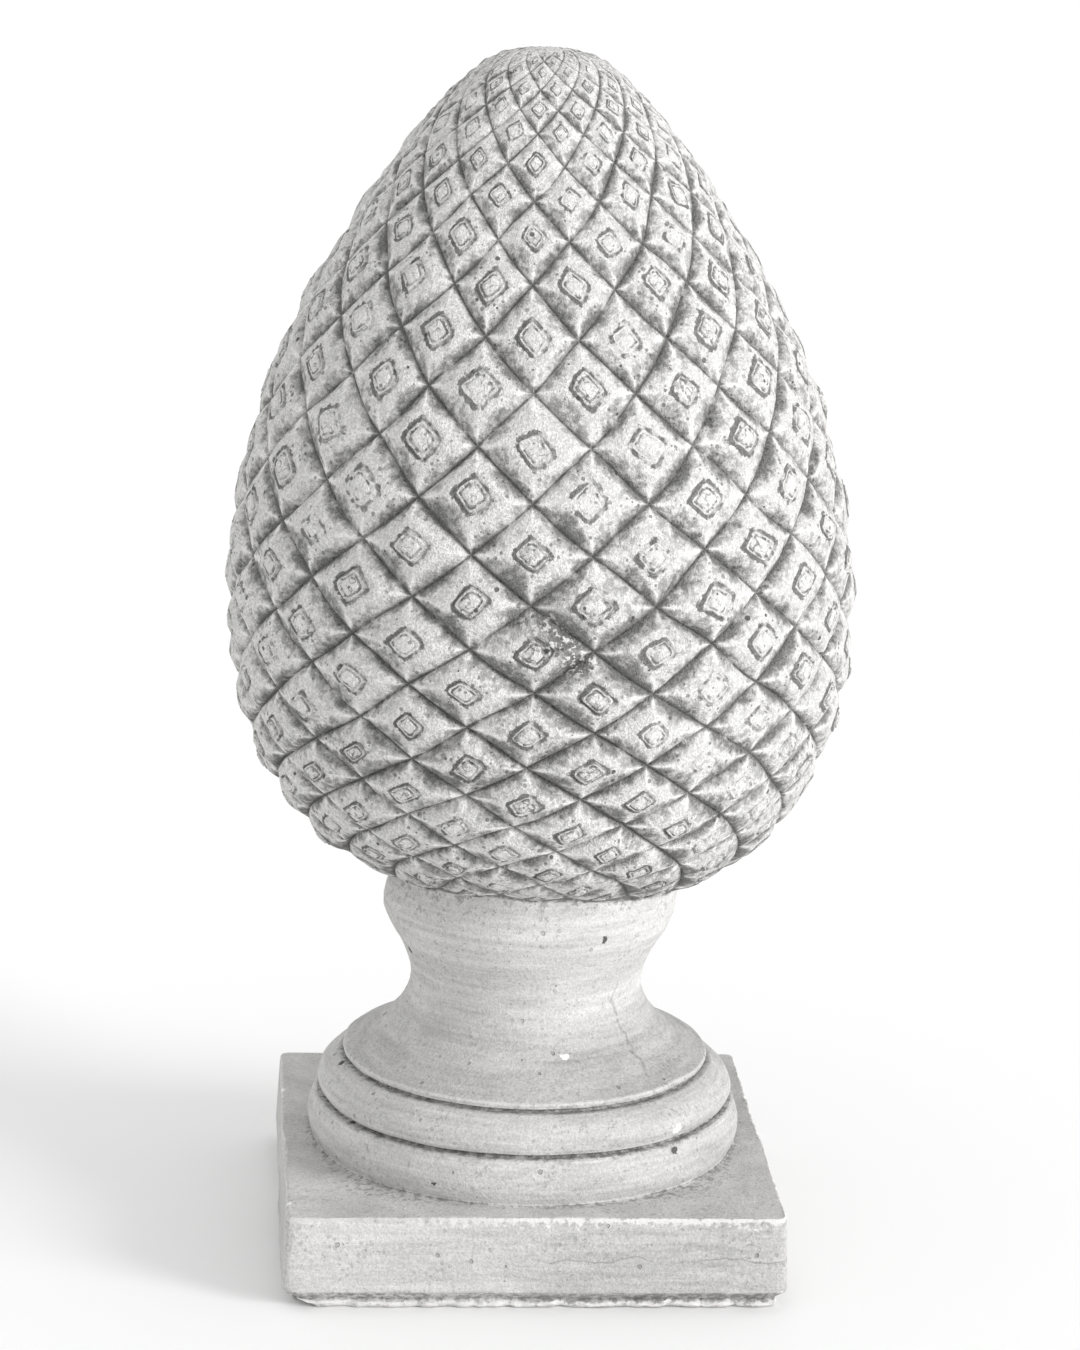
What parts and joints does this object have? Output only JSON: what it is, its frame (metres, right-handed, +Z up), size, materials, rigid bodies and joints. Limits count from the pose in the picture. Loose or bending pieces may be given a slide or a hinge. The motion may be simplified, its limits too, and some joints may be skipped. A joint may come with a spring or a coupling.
{
  "type": "pinecone finial",
  "caption": "Cast stone finial: an egg-shaped cone of pointed diamond scales on a waisted neck, moulded rings and a square plinth.",
  "frame": {"origin": "middle of the plinth's underside, on the axis of the neck", "axes": "+Z up along the axis of the neck to the cone's tip; -Y is the front, the side the picture shows; the plinth's sides lie along X and Y"},
  "size_m": [0.2551, 0.2548, 0.4921],
  "materials": {
    "cast_stone": "matt, sandy, weathered pale grey cast stone"
  },
  "bodies": {
    "root": {"pinecone_finial": "cast_stone"}
  },
  "joints": []
}
